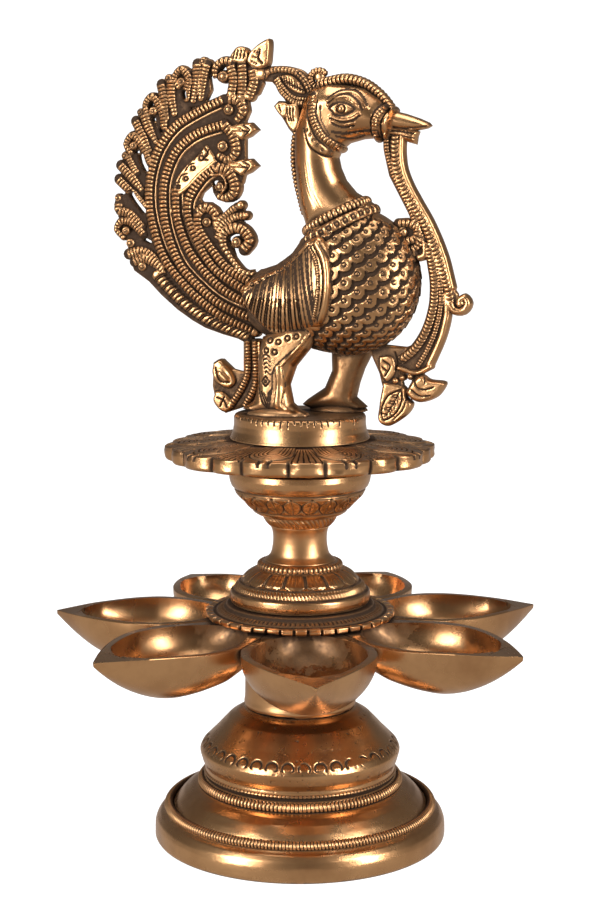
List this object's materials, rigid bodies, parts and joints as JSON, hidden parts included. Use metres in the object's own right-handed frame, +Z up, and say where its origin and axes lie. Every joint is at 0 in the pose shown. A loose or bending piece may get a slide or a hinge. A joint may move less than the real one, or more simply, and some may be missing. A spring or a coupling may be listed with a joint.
{
  "type": "brass standing oil lamp with seven bowls and a bird finial",
  "caption": "Cast brass samai oil lamp: turned foot, ring of pointed oil bowls, short pillar, lotus plate and a long-tailed bird on a drum.",
  "frame": {"origin": "on the lamp's axis at the floor, in the centre of the foot's resting plane", "axes": "+Z up along the lamp's axis; the bird faces +X and stands in the XZ plane"},
  "size_m": [0.1573, 0.157, 0.2534],
  "materials": {
    "polished_brass": "polished",
    "satin_brass": "satin",
    "chased_brass": "antiqued"
  },
  "bodies": {
    "base": {"foot": "polished_brass", "shoulder": "polished_brass"},
    "dish_screw": {"dish_stud": "satin_brass"},
    "dish": {"dish_hub": "satin_brass", "bowl_1": "polished_brass", "bowl_2": "polished_brass", "bowl_3": "polished_brass", "bowl_4": "polished_brass", "bowl_5": "polished_brass", "bowl_6": "polished_brass", "bowl_7": "polished_brass", "toothed_collar": "chased_brass"},
    "pillar_screw": {"pillar_stud": "satin_brass"},
    "pillar": {"pillar": "polished_brass"},
    "bird_screw": {"finial_stud": "satin_brass"},
    "bird": {"lotus_plate": "chased_brass", "pedestal": "polished_brass", "bird_body": "chased_brass", "necklace": "chased_brass", "neck_and_head": "polished_brass", "crest_rope": "chased_brass", "crest_leaf": "chased_brass", "wing_left": "chased_brass", "wing_right": "chased_brass", "leg_left": "chased_brass", "leg_right": "chased_brass", "tail_fan": "chased_brass", "tail_stem": "chased_brass", "vine": "chased_brass"}
  },
  "joints": [
    {"name": "dish_lift", "type": "slide", "parent": "base", "child": "dish_screw", "axis": [0, 0, 1], "range_m": [0, 0.0083]},
    {"name": "dish_turn", "type": "hinge", "parent": "dish_screw", "child": "dish", "pos_m": [0, 0, 0.0427], "axis": [0, 0, 1], "range_deg": [0, 1980]},
    {"name": "pillar_lift", "type": "slide", "parent": "dish", "child": "pillar_screw", "axis": [0, 0, 1], "range_m": [0, 0.0083]},
    {"name": "pillar_turn", "type": "hinge", "parent": "pillar_screw", "child": "pillar", "pos_m": [0, 0, 0.0768], "axis": [0, 0, 1], "range_deg": [0, 1980]},
    {"name": "bird_lift", "type": "slide", "parent": "pillar", "child": "bird_screw", "axis": [0, 0, 1], "range_m": [0, 0.0083]},
    {"name": "bird_turn", "type": "hinge", "parent": "bird_screw", "child": "bird", "pos_m": [0, 0, 0.12], "axis": [0, 0, 1], "range_deg": [0, 1980]}
  ],
  "couplings": [
    {"joint": "dish_lift", "follows": "dish_turn", "m_per_rad": 0.00023873},
    {"joint": "pillar_lift", "follows": "pillar_turn", "m_per_rad": 0.00023873},
    {"joint": "bird_lift", "follows": "bird_turn", "m_per_rad": 0.00023873}
  ]
}
